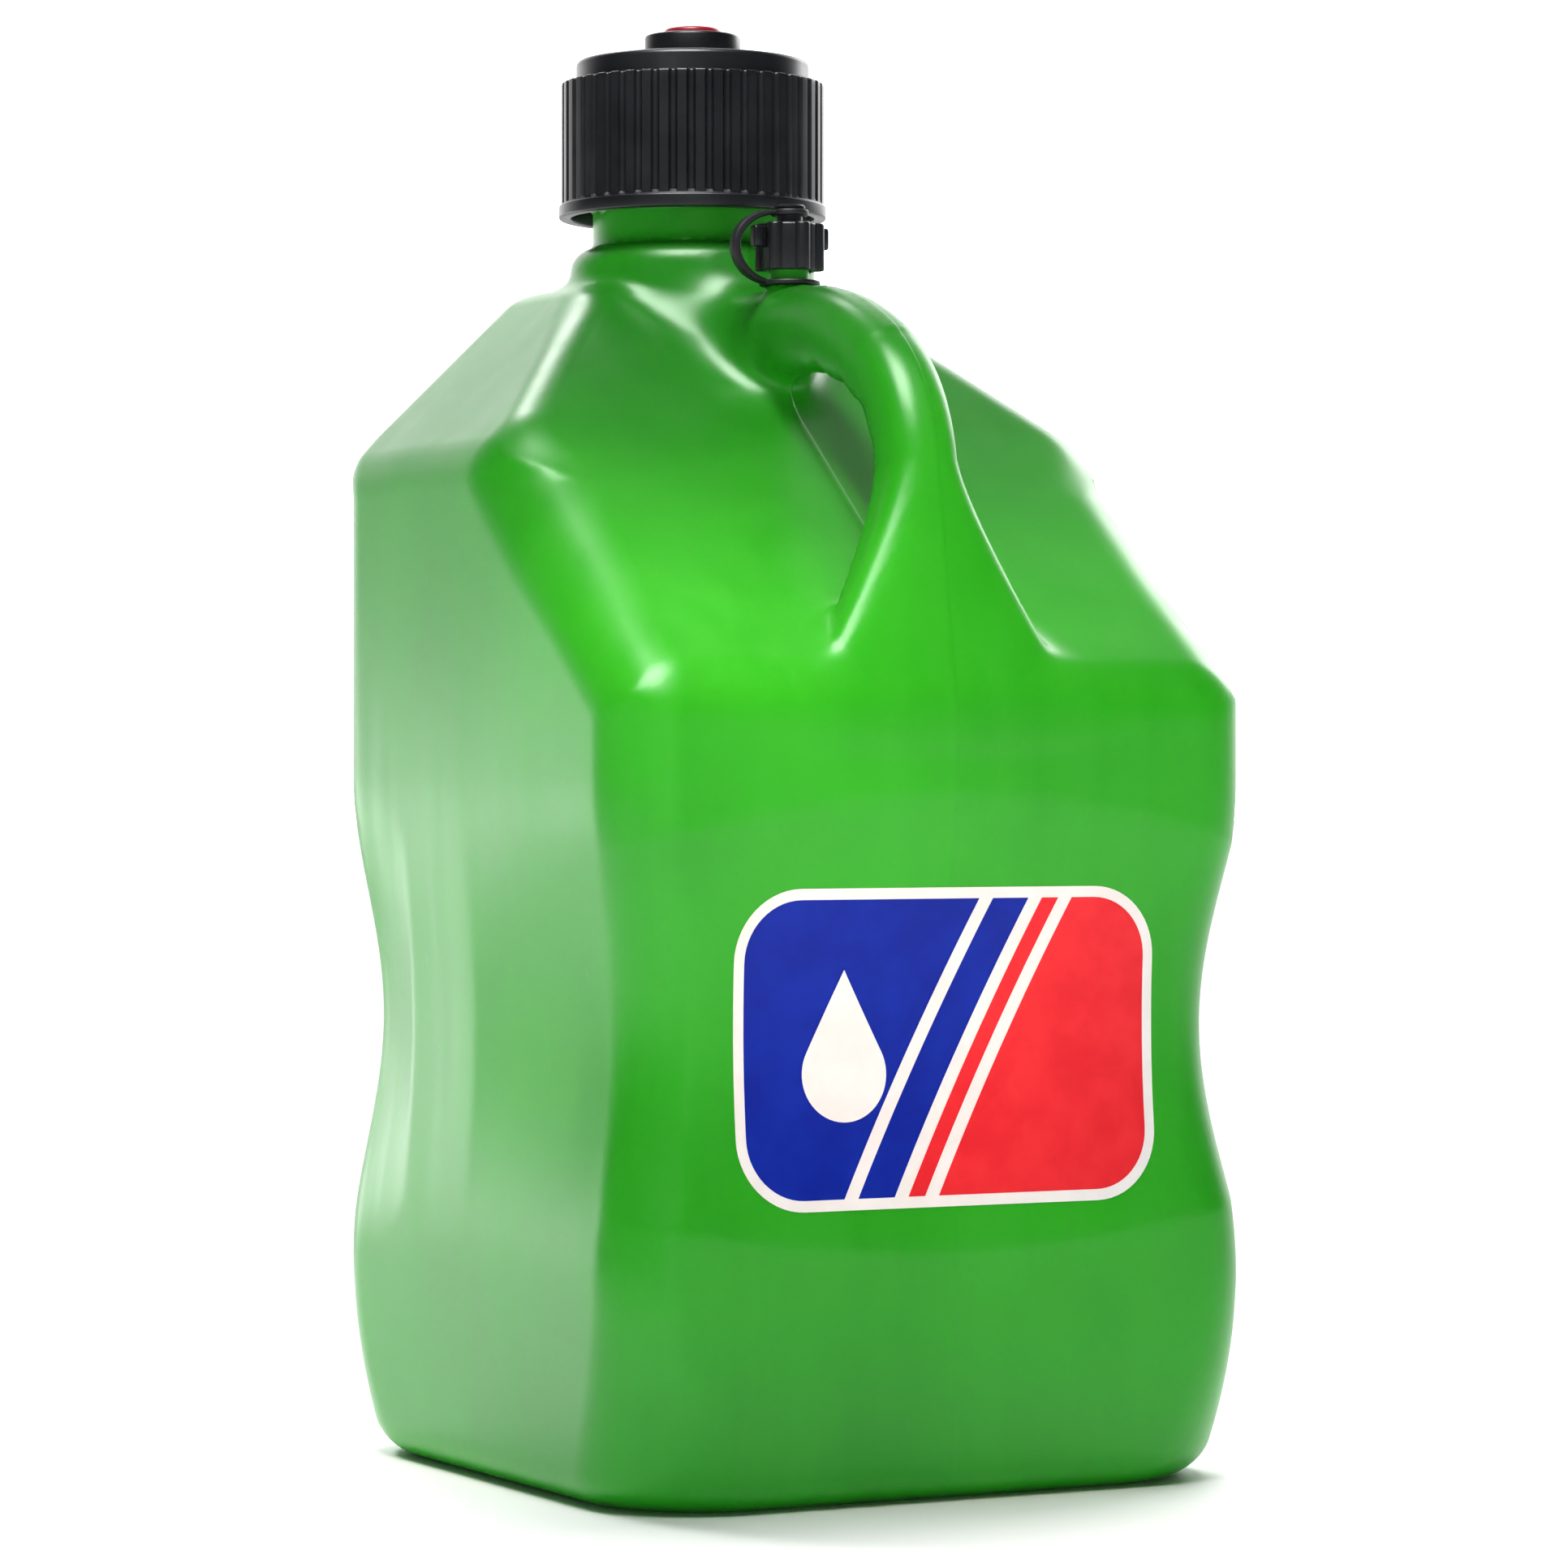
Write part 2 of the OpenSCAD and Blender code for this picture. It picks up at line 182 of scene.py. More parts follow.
def bottle(x, y, z):
    """Distance to the plain bottle, without handle and neck; negative inside it."""
    ax = np.abs(x)
    base_taper, taper_h = 4, 60
    taper = base_taper * np.maximum(0, 1 - z / taper_h) ** 2
    side = ax - (HALF - side_inset(y, z) - taper)
    front = -y - (HALF - front_inset(ax, z) - taper)
    back = y - (HALF - back_inset(z) - taper)
    front_slope = (z - SHOULDER_Z - FRONT_RISE * (y + HALF)) / math.hypot(1, FRONT_RISE)
    side_slope = (z - EAVE_Z - SIDE_RISE * (HALF - ax)) / math.hypot(1, SIDE_RISE)
    # The upright corners grow rounder at the base and beside the front slope, and turn into the
    # tighter ridges between the slopes above the eaves
    corner = CORNER_R + 24 * np.maximum(0, 1 - z / 75) ** 1.5
    corner = corner + 4 * smooth((z - 300) / 40) * smooth((40 - y) / 60)
    ridge = 9 + 7 * smooth((y - 20) / 80)
    corner = corner + (ridge - corner) * smooth((z - (EAVE_Z - 12.5)) / 28)
    shoulder_r, eave_r, deck_r, base_r = 11, 7, 6, 14
    depth = np.maximum(round_max(front, front_slope, shoulder_r), back)
    width = round_max(side, side_slope, eave_r)
    d = round_max(width, depth, corner)
    return round_max(round_max(d, z - DECK_Z, deck_r), -z, base_r)


def handle_line():
    """The handle's centre line, as rows of y, z, half width and half thickness."""
    root = np.linspace(ROOT_Y, CROWN_Y, 15)
    pts = [(y, HANDLE_Z, GRIP_A + max(0, y) / 6, GRIP_B + 1) for y in root]
    for a in np.linspace(0, CROWN_END, 15)[1:]:
        y, z = CROWN_Y - CROWN_R * math.sin(a), HANDLE_Z - CROWN_R * (1 - math.cos(a))
        pts.append((y, z, GRIP_A, GRIP_B + 0.5))
    grip_y, grip_z = pts[-1][:2]
    for a in np.linspace(CROWN_END, GRIP_END, 17)[1:]:
        y = grip_y - GRIP_R * (math.sin(a) - math.sin(CROWN_END))
        z = grip_z - GRIP_R * (math.cos(CROWN_END) - math.cos(a))
        pts.append((y, z, GRIP_A, GRIP_B))
    foot_y, foot_z = pts[-1][:2]
    for s in np.linspace(0, 1, 17)[1:]:
        y, z = foot_y + (FOOT_Y - foot_y) * s, foot_z + (FOOT_Z - foot_z) * s
        pts.append((y, z, GRIP_A + (FOOT_A - GRIP_A) * s**FLARE, GRIP_B - 4 * s))
    return np.array(pts)


HANDLE = handle_line()
SEG = HANDLE[1:, :2] - HANDLE[:-1, :2]
SEG_LEN = np.hypot(SEG[:, 0], SEG[:, 1])
SEG_DIR = SEG / SEG_LEN[:, None]
SEG_S = np.concatenate([[0], np.cumsum(SEG_LEN)])
GRIP_S, FOOT_S = SEG_S[17], SEG_S[45]  # where the finger scallops start, and the foot


def handle_part(x, y, z):
    """Distance to the handle: a super-ellipse swept along its centre line."""
    py = y[:, None] - HANDLE[None, :-1, 0]
    pz = z[:, None] - HANDLE[None, :-1, 1]
    t = np.clip(py * SEG_DIR[:, 0] + pz * SEG_DIR[:, 1], 0, SEG_LEN)
    qy, qz = py - t * SEG_DIR[:, 0], pz - t * SEG_DIR[:, 1]
    d2 = qy * qy + qz * qz
    i = d2.argmin(1)
    row = np.arange(len(x))
    qy, qz, t = qy[row, i], qz[row, i], t[row, i]
    away = np.sqrt(d2[row, i])
    s = SEG_S[i] + t
    outer = qy * SEG_DIR[i, 1] - qz * SEG_DIR[i, 0]
    a = np.interp(s, SEG_S, HANDLE[:, 2])
    b = np.interp(s, SEG_S, HANDLE[:, 3])
    along = (s - GRIP_S) / (FOOT_S - GRIP_S)
    window = smooth(along * 6) * smooth((1 - along) * 6)
    scallop = FINGER_DEPTH * window * (0.5 - 0.5 * np.cos(2 * np.pi * FINGERS * along))
    b = b - np.where(outer < 0, scallop, 0)
    p = 2.3 + 1.0 * smooth((s - FOOT_S + 20) / 60)
    m = ((np.abs(x) / a) ** p + (away / b) ** p + 1e-12) ** (1 / p)
    return (m - 1) * np.minimum(a, b)


def handle(x, y, z):
    """The same, worked out only near the handle and in batches."""
    d = np.full(x.shape, 1e3)
    near = (np.abs(x) < 84) & (y < 58) & (z > 258) & (z < 458)
    idx = np.flatnonzero(near)
    for c in range(0, len(idx), 40000):
        part = idx[c : c + 40000]
        d[part] = handle_part(x[part], y[part], z[part])
    return d


def thread_height(angle, z):
    """How far the neck's thread stands out at an angle and height."""
    turn = angle / (2 * np.pi) % 1
    n = np.round((z - THREAD_Z) / LEAD - turn)
    n = np.clip(n, 0, np.floor(NECK_TURNS - turn))
    off = np.abs(z - THREAD_Z - LEAD * (turn + n))
    ends = np.minimum(turn + n, NECK_TURNS - turn - n)
    return RIDGE * clip01((THREAD_HALF - off) / FLANK) * smooth(ends * 8)


def neck(x, y, z):
    """Distances to the collar and to the threaded pipe above it."""
    collar_edge, collar_low, pipe_low = 9, 432, 440
    dy = y - NECK_Y
    r = np.hypot(x, dy)
    collar = round_max(r - COLLAR_R, z - COLLAR_Z, collar_edge)
    collar = np.maximum(collar, collar_low - z)
    pipe_r = NECK_R + (THREAD_R - NECK_R) * smooth((z - THREAD_STEP_Z) / 3.5)
    pipe_r = pipe_r + thread_height(np.arctan2(dy, x), z)
    pipe = round_max(np.maximum(r - pipe_r, pipe_low - z), z - RIM_Z, 1)
    return collar, pipe


def parting(x):
    """Height of the mould's parting line, which runs round the middle of the bottle."""
    height, half = 0.3, 0.8
    return height * np.exp(-((x / half) ** 2))


def outside(x, y, z):
    """Distance to the whole moulding."""
    collar, pipe = neck(x, y, z)
    d = soft_min(bottle(x, y, z), collar, 9)
    # A sharp root at the handle's foot, and a wide one where it leaves the collar
    d = soft_min(d, handle(x, y, z), 4.5 + 14 * smooth((y + 95) / 110))
    pad = np.maximum(np.hypot(x, y - VENT_Y) - PAD_R, z - PAD_Z)
    d = soft_min(d, np.maximum(pad, 430 - z), 3)
    d = soft_max(d, -HALF - y, 2)
    d = d - parting(x) * smooth(z / 12)
    return soft_min(d, pipe, 2.5)


def cavity(x, y, z):
    """Distance to the tank inside it, which runs on into the handle."""
    return soft_min(bottle(x, y, z), handle(x, y, z), 8) + WALL


# Surfaces from fields ----------------------------------------------------------------------


def grid_lines(lo, hi, step, fine=()):
    """Grid coordinates from lo to hi, closer together in the fine ranges (from, to, step)."""
    out = [lo]
    while out[-1] < hi:
        v = out[-1]
        s = step
        for a, b, f in fine:
            if a <= v < b:
                s = f
        out.append(v + s)
    return np.array(out)


def project(field, p, rounds=5):
    """Moves points onto the surface where the field is nought."""
    e = 0.04
    for _ in range(rounds):
        f = field(p[:, 0], p[:, 1], p[:, 2])
        g = np.empty_like(p)
        for k in range(3):
            d = np.zeros(3)
            d[k] = e
            q0, q1 = p - d, p + d
            g[:, k] = (
                field(q1[:, 0], q1[:, 1], q1[:, 2]) - field(q0[:, 0], q0[:, 1], q0[:, 2])
            ) / (2 * e)
        step = f / np.maximum((g * g).sum(1), 0.05)
        step = np.clip(step * np.linalg.norm(g, axis=1), -1.2, 1.2)
        n = g / np.maximum(np.linalg.norm(g, axis=1), 1e-6)[:, None]
        p = p - n * step[:, None]
    return p


def surface(field, xs, ys, zs, rounds=5):
    """Quad mesh of a field's surface: one point per crossed cell, one face per crossed edge."""
    v = np.empty((len(xs), len(ys), len(zs)))
    for k in range(0, len(zs), 24):
        gx, gy, gz = np.meshgrid(xs, ys, zs[k : k + 24], indexing="ij")
        v[:, :, k : k + 24] = field(gx.ravel(), gy.ravel(), gz.ravel()).reshape(gx.shape)
    s = v < 0
    count = np.zeros(tuple(n - 1 for n in s.shape), np.int8)
    for i in (0, 1):
        for j in (0, 1):
            for k in (0, 1):
                count += s[
                    i : i + s.shape[0] - 1, j : j + s.shape[1] - 1, k : k + s.shape[2] - 1
                ]
    active = (count > 0) & (count < 8)
    cells = np.argwhere(active)
    ids = np.full(active.shape, -1, np.int64)
    ids[active] = np.arange(len(cells))
    lines = (xs, ys, zs)
    total = np.zeros((len(cells), 3))
    hits = np.zeros(len(cells))
    for axis in range(3):
        o1, o2 = [k for k in range(3) if k != axis]
        for b in (0, 1):
            for c in (0, 1):
                lo = cells.copy()
                lo[:, o1] += b
                lo[:, o2] += c
                hi = lo.copy()
                hi[:, axis] += 1
                v0, v1 = v[tuple(lo.T)], v[tuple(hi.T)]
                cross = (v0 < 0) != (v1 < 0)
                t = np.where(cross, v0 / np.where(cross, v0 - v1, 1), 0)
                q = np.stack([lines[k][lo[:, k]] for k in range(3)], 1)
                a = lines[axis]
                q[:, axis] += t * (a[hi[:, axis]] - a[lo[:, axis]])
                total += q * cross[:, None]
                hits += cross
    p = project(field, total / hits[:, None], rounds)
    faces = []
    for axis in range(3):
        u, w = (axis + 1) % 3, (axis + 2) % 3
        lo = [slice(1, -1)] * 3
        hi = [slice(1, -1)] * 3
        lo[axis], hi[axis] = slice(0, -1), slice(1, None)
        s0, s1 = s[tuple(lo)], s[tuple(hi)]
        edge = np.argwhere(s0 != s1)
        out = s0[s0 != s1]
        base = edge.copy()
        for k in range(3):
            if k != axis:
                base[:, k] += 1
        corners = []
        for du, dw in ((-1, -1), (0, -1), (0, 0), (-1, 0)):
            c = base.copy()
            c[:, u] += du
            c[:, w] += dw
            corners.append(ids[tuple(c.T)])
        q = np.stack(corners, 1)
        faces.append(np.where(out[:, None], q, q[:, ::-1]))
    return p, np.concatenate(faces)


# Mesh helpers ------------------------------------------------------------------------------

SHARP_ANGLE = math.radians(35)


def make(name, points, faces):
    mesh = bpy.data.meshes.new(name)
    mesh.from_pydata((np.asarray(points) * MM).tolist(), [], [list(map(int, f)) for f in faces])
    mesh.update()
    mesh.shade_smooth()
    mesh.set_sharp_from_angle(angle=SHARP_ANGLE)
    return add_object(name, mesh)


def combine(obj, other, how):
    """Joins or cuts one closed mesh with another, which goes away."""
    mod = obj.modifiers.new("combine", "BOOLEAN")
    mod.object, mod.operation, mod.solver = other, how, "MANIFOLD"
    dg = bpy.context.evaluated_depsgraph_get()
    mesh = bpy.data.meshes.new_from_object(obj.evaluated_get(dg))
    obj.modifiers.clear()
    obj.data = mesh
    bpy.data.objects.remove(other)
    mesh.shade_smooth()
    mesh.set_sharp_from_angle(angle=SHARP_ANGLE)
    return obj


def filleted(points, radii, n=4):
    """Closed outline with each corner rounded."""
    out = []
    pts = [np.array(p, float) for p in points]
    for i, p in enumerate(pts):
        a, b = pts[i - 1] - p, pts[(i + 1) % len(pts)] - p
        la, lb = np.linalg.norm(a), np.linalg.norm(b)
        r = radii[i] if isinstance(radii, (list, tuple)) else radii
        if r <= 0:
            out.append(p)
            continue
        a, b = a / la, b / lb
        half = math.acos(float(np.clip(a @ b, -1, 1))) / 2
        cut = min(r / math.tan(half), 0.48 * la, 0.48 * lb)
        r = cut * math.tan(half)
        mid = (a + b) / np.linalg.norm(a + b)
        centre = p + mid * (r / math.sin(half))
        p0, p1 = p + a * cut, p + b * cut
        t0 = math.atan2(*(p0 - centre)[::-1])
        t1 = math.atan2(*(p1 - centre)[::-1])
        d = (t1 - t0 + math.pi) % (2 * math.pi) - math.pi
        for k in range(n + 1):
            t = t0 + d * k / n
            out.append(centre + r * np.array([math.cos(t), math.sin(t)]))
    return np.array(out)


def revolve(name, outline, centre_y, columns=128, change=None, angles=None):
    """Closed ring mesh from a closed (r, z) outline, anticlockwise, that keeps off the axis."""
    outline = np.array(outline)
    if angles is None:
        angles = np.arange(columns) * 2 * np.pi / columns
    m, n = len(outline), len(angles)
    r = np.repeat(outline[None, :, 0], n, 0)
    z = np.repeat(outline[None, :, 1], n, 0)
    th = np.repeat(np.asarray(angles)[:, None], m, 1)
    if change is not None:
        r = change(r, th, z)
    p = np.stack([r * np.cos(th), centre_y + r * np.sin(th), z], 2).reshape(-1, 3)
    i, j = np.meshgrid(np.arange(n), np.arange(m), indexing="ij")
    i1, j1 = (i + 1) % n, (j + 1) % m
    f = np.stack([i * m + j, i1 * m + j, i1 * m + j1, i * m + j1], 2).reshape(-1, 4)
    return make(name, p, f)


def solid_turned(name, profile, centre_y, columns=96):
    """Closed solid from an open (r, z) profile that starts and ends on the axis, going up."""
    profile = np.array(profile)
    a = np.arange(columns) * 2 * np.pi / columns
    inner = profile[1:-1]
    p = [(0, centre_y, profile[0][1])]
    for r, z in inner:
        p += [(r * math.cos(t), centre_y + r * math.sin(t), z) for t in a]
    p.append((0, centre_y, profile[-1][1]))
    f = []
    for j in range(columns):
        k = (j + 1) % columns
        f.append((0, 1 + k, 1 + j))
        for i in range(len(inner) - 1):
            b = 1 + i * columns
            f.append((b + j, b + k, b + columns + k, b + columns + j))
        b = 1 + (len(inner) - 1) * columns
        f.append((b + j, b + k, len(p) - 1))
    return make(name, p, f)


def bevelled_box(name, lo, hi, bevel=0.8):
    bm = bmesh.new()
    bmesh.ops.create_cube(bm, size=1)
    for v in bm.verts:
        v.co = Vector([(lo[k] + (v.co[k] + 0.5) * (hi[k] - lo[k])) * MM for k in range(3)])
    bmesh.ops.bevel(
        bm, geom=bm.edges[:], offset=bevel * MM, segments=3, profile=0.5, affect="EDGES"
    )
    mesh = bpy.data.meshes.new(name)
    bm.to_mesh(mesh)
    bm.free()
    return add_object(name, mesh)


# Materials ---------------------------------------------------------------------------------


class Graph:
    """Short ways to add and link nodes in a tree."""

    def __init__(self, tree):
        self.tree = tree

    def add(self, kind, **values):
        node = self.tree.nodes.new(kind)
        for key, value in values.items():
            if key in node.inputs:
                node.inputs[key].default_value = value
            else:
                setattr(node, key, value)
        return node

    def link(self, a, b):
        self.tree.links.new(a, b)

    def remap(self, value, lo, hi, start=0.3, end=0.7):
        node = self.add("ShaderNodeMapRange", interpolation_type="SMOOTHSTEP")
        for key, v in zip(("From Min", "From Max", "To Min", "To Max"), (start, end, lo, hi)):
            node.inputs[key].default_value = v
        self.link(value, node.inputs["Value"])
        return node.outputs["Result"]

    def math(self, how, a, b):
        node = self.add("ShaderNodeMath", operation=how)
        for socket, v in zip(node.inputs, (a, b)):
            if isinstance(v, (int, float)):
                socket.default_value = v
            else:
                self.link(v, socket)
        return node.outputs["Value"]


class Nodes(Graph):
    """A material's node tree, with its textures laid out in the object's own coordinates."""

    def __init__(self, name):
        self.mat = bpy.data.materials.new(name)
        self.mat.use_nodes = True
        super().__init__(self.mat.node_tree)
        self.shader = self.tree.nodes["Principled BSDF"]
        self.coords = self.add("ShaderNodeTexCoord").outputs["Object"]

    def noise(self, scale, detail=4, stretch=(1, 1, 1), rough=0.55):
        mapping = self.add("ShaderNodeMapping", Scale=stretch)
        self.link(self.coords, mapping.inputs["Vector"])
        tex = self.add("ShaderNodeTexNoise", Scale=scale, Detail=detail, Roughness=rough)
        self.link(mapping.outputs["Vector"], tex.inputs["Vector"])
        return tex.outputs["Fac"]

    def mix(self, fac, a, b):
        node = self.add("ShaderNodeMix", data_type="RGBA")
        self.link(fac, node.inputs["Factor"])
        for key, c in (("A", a), ("B", b)):
            sockets = [s for s in node.inputs if s.name == key and s.type == "RGBA"]
            if isinstance(c, tuple):
                sockets[0].default_value = (*c, 1)
            else:
                self.link(c, sockets[0])
        return [s for s in node.outputs if s.type == "RGBA"][0]

    def bump(self, height, strength, distance):
        node = self.add("ShaderNodeBump", Strength=strength, Distance=distance)
        self.link(height, node.inputs["Height"])
        self.link(node.outputs["Normal"], self.shader.inputs["Normal"])


def hdpe_green():
    n = Nodes("hdpe_green")
    cloud = n.noise(9, 3)
    streak = n.noise(60, 3, (1, 1, 0.06))
    grain = n.noise(900, 2)
    scuff = n.noise(140, 5, (1, 1, 0.25), 0.7)
    tone = n.mix(n.remap(cloud, 0, 1, 0.1, 0.9), (0.014, 0.3, 0.008), (0.026, 0.41, 0.014))
    tone = n.mix(n.remap(streak, 0, 0.2), tone, (0.04, 0.43, 0.025))
    worn = n.remap(scuff, 0, 0.2, 0.66, 0.76)
    tone = n.mix(worn, tone, (0.1, 0.47, 0.08))
    n.link(tone, n.shader.inputs["Base Color"])
    rough = n.remap(streak, 0.28, 0.38, 0, 1)
    n.link(rough, n.shader.inputs["Roughness"])
    n.shader.inputs["IOR"].default_value = 1.5
    n.shader.inputs["Specular IOR Level"].default_value = 0.4
    n.shader.inputs["Subsurface Weight"].default_value = 0.12
    n.shader.inputs["Subsurface Radius"].default_value = (0.15, 1.0, 0.12)
    n.shader.inputs["Subsurface Scale"].default_value = 0.004
    height = n.math("ADD", n.math("MULTIPLY", grain, 0.25), n.math("MULTIPLY", streak, 0.3))
    n.bump(height, 0.15, 0.00025)
    return n.mat


def moulded_black(name="moulded_black", low=0.27, high=0.4):
    n = Nodes(name)
    cloud, grain = n.noise(45, 4), n.noise(1500, 2)
    scratch = n.noise(300, 5, (1, 1, 0.15), 0.7)
    worn = n.remap(scratch, 0, 0.16, 0.68, 0.78)
    tone = n.mix(n.remap(cloud, 0, 1), (0.006, 0.0068, 0.0095), (0.0105, 0.0115, 0.015))
    n.link(n.mix(worn, tone, (0.02, 0.021, 0.025)), n.shader.inputs["Base Color"])
    n.link(n.remap(cloud, low, high, 0, 1), n.shader.inputs["Roughness"])
    n.shader.inputs["IOR"].default_value = 1.5
    n.bump(grain, 0.15, 0.0001)
    return n.mat


def plain_plastic(name, dark, light, low, high, shine=0.5):
    n = Nodes(name)
    cloud, grain = n.noise(60, 4), n.noise(1200, 2)
    n.link(n.mix(n.remap(cloud, 0, 1), dark, light), n.shader.inputs["Base Color"])
    n.link(n.remap(cloud, low, high, 0, 1), n.shader.inputs["Roughness"])
    n.shader.inputs["Specular IOR Level"].default_value = shine
    n.bump(grain, 0.15, 0.00008)
    return n.mat


GREEN = hdpe_green()
BLACK = moulded_black()
SOFT_BLACK = moulded_black("tether_black", 0.4, 0.55)
RED = plain_plastic("plug_red", (0.62, 0.012, 0.045), (0.72, 0.02, 0.06), 0.3, 0.4)
RUBBER = plain_plastic("seal_rubber", (0.035, 0.035, 0.035), (0.06, 0.06, 0.06), 0.6, 0.8)
WHITE_INK = plain_plastic("ink_white", (0.8, 0.8, 0.8), (0.86, 0.86, 0.86), 0.3, 0.42, 0.2)
BLUE_INK = plain_plastic("ink_blue", (0.003, 0.016, 0.3), (0.004, 0.022, 0.36), 0.3, 0.42, 0.2)
RED_INK = plain_plastic("ink_red", (0.72, 0.018, 0.028), (0.8, 0.028, 0.036), 0.3, 0.42, 0.2)


def finish_piece(obj, material, body, slot, *nodes):
    obj.data.materials.clear()
    obj.data.materials.append(material)
    if body:
        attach(obj, body)
    if nodes:
        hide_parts(*nodes)
    return obj


# The bottle --------------------------------------------------------------------------------

STEP = 2.5
FINE = STEP / 2
PARTING_STEP, THREAD_STEP, HOLLOW_STEP = 0.6, 1.1, 5


def build_skin():
    """The outer skin, on a grid that is finer at the parting line, the ribs and the thread."""
    edge = HALF + 4
    xs = grid_lines(-edge, edge, STEP, [(-2.4, 2.4, PARTING_STEP)])
    ys = grid_lines(-edge, edge, STEP, [(-2, 12, FINE), (55, 67, FINE)])
    fine_z = [(84, 104, FINE), (234, 258, FINE), (440, 456, FINE), (478, 532, THREAD_STEP)]
    zs = grid_lines(-3, RIM_Z + 5, STEP, fine_z)
    return make("jug_bottle", *surface(outside, xs, ys, zs))


def build_hollow():
    edge = HALF + 3
    xs = grid_lines(-edge, edge, HOLLOW_STEP, [(-18, 18, 3)])
    ys = grid_lines(-edge, edge, HOLLOW_STEP)
    zs = grid_lines(-2, 456, HOLLOW_STEP, [(280, 450, 3.5)])
    return make("hollow", *surface(cavity, xs, ys, zs, 4))


def build_bottle():
    body = build_skin()
    low, bore_r = 436, 4.7
    wall = [(SPOUT_R, low), (SPOUT_R, SPOUT_TOP), (4.6, SPOUT_TOP), (4.6, low)]
    lip = filleted(wall, [0, 0.7, 0.3, 0])
    spout = [(0, low), (SPOUT_R, low), *[tuple(q) for q in lip[1:6]], (0, SPOUT_TOP)]
    combine(body, solid_turned("spout", spout, VENT_Y), "UNION")
    combine(body, build_hollow(), "DIFFERENCE")
    bore = [(0, 438), (MOUTH_R, 438), (MOUTH_R, 524.8), (MOUTH_R + 3, 530), (0, 530)]
    combine(body, solid_turned("bore", bore, NECK_Y, 128), "DIFFERENCE")
    hole = [(0, 422), (bore_r, 422), (bore_r, 470), (0, 470)]
    combine(body, solid_turned("hole", hole, VENT_Y, 48), "DIFFERENCE")
    return finish_piece(body, GREEN, "container", "green_plastic", "container_body")


build_bottle()

# Caps --------------------------------------------------------------------------------------

FLUTES = 46
FLUTE_DEPTH, FLUTE_HALF = 1.55, 0.25  # a flute's half width is a share of its pitch
FLUTE_R = CAP_R - 1
CAP_BORE, CAP_RIDGE = 47.6, 4.0


def build_cap():
    lip, flute, edge_z, step_r = 478.0, 483.0, CAP_TOP - 8.6, 45.6
    boss_r, bore_r, seat_r, recess_r = 14.6, 10.0, 44.3, 31
    roof, seat, seat_low, bore_top = 534.4, 529.7, 523.5, 520.5
    outline = filleted(
        [
            (bore_r, roof), (recess_r, roof), (recess_r, seat), (seat_r, seat),
            (seat_r, seat_low), (CAP_BORE, bore_top), (CAP_BORE, lip), (CAP_R, lip),
            (CAP_R, flute), (FLUTE_R, flute + 0.3), (FLUTE_R, flute + 1.8),
            (FLUTE_R, edge_z - 2.4), (FLUTE_R, edge_z), (step_r, edge_z), (step_r, CAP_TOP),
            (boss_r, CAP_TOP), (boss_r, PORT_Z), (bore_r, PORT_Z),
        ],
        [0.4, 0.4, 0.4, 0.4, 0.4, 0.6, 0.7, 0.9, 0.9, 0.4, 0, 0, 0.8, 0.6, 1.9, 0.5, 0.5, 0.5],
    )
    offsets = np.array([-0.5, -0.36, -0.25, -0.19, -0.1, 0, 0.1, 0.19, 0.25, 0.36])
    angles = np.concatenate([(i + offsets) * 2 * np.pi / FLUTES for i in range(FLUTES)])

    def change(r, th, z):
        """Cuts the flutes into the skirt and raises the thread inside it."""
        phase = (th * FLUTES / (2 * np.pi) + 0.5) % 1 - 0.5
        groove = FLUTE_DEPTH * np.sqrt(clip01(1 - (phase / FLUTE_HALF) ** 2))
        fade = smooth((z - flute - 0.6) / 1.3)
        grip = (r > 48) & (z > flute + 0.2)
        r = np.where(grip, r - groove * fade, r)
        turn = th / (2 * np.pi) % 1
        n = np.clip(np.round((z - THREAD_Z - LEAD / 2) / LEAD - turn), 0, 1)
        off = np.abs(z - THREAD_Z - LEAD / 2 - LEAD * (turn + n))
        thread = CAP_RIDGE * clip01((THREAD_HALF - off) / FLANK)
        thread = thread * smooth((CAP_TURNS - turn - n) * 8)
        inner = (r > 46) & (r < 48) & (z > 484) & (z < 516)
        return np.where(inner, r - thread, r)

    inner_rows = [(CAP_BORE, z) for z in np.arange(519, 480, -1.2)]
    k = int(np.argmin(np.hypot(outline[:, 0] - CAP_BORE, outline[:, 1] - 520))) + 1
    rows = [tuple(q) for q in outline]
    cut = next(i for i in range(k, len(rows)) if rows[i][1] < 480)
    rows = rows[:k] + inner_rows + rows[cut:]
    cap = revolve("jug_screw_cap", rows[::-1], NECK_Y, angles=angles, change=change)
    return finish_piece(cap, BLACK, "cap", "black_plastic", "screw_cap")


def washer(name, radii, heights, edge, columns):
    (r0, r1), (z0, z1) = radii, heights
    outline = filleted([(r0, z0), (r1, z0), (r1, z1), (r0, z1)], edge)
    return revolve(name, outline, NECK_Y, columns)


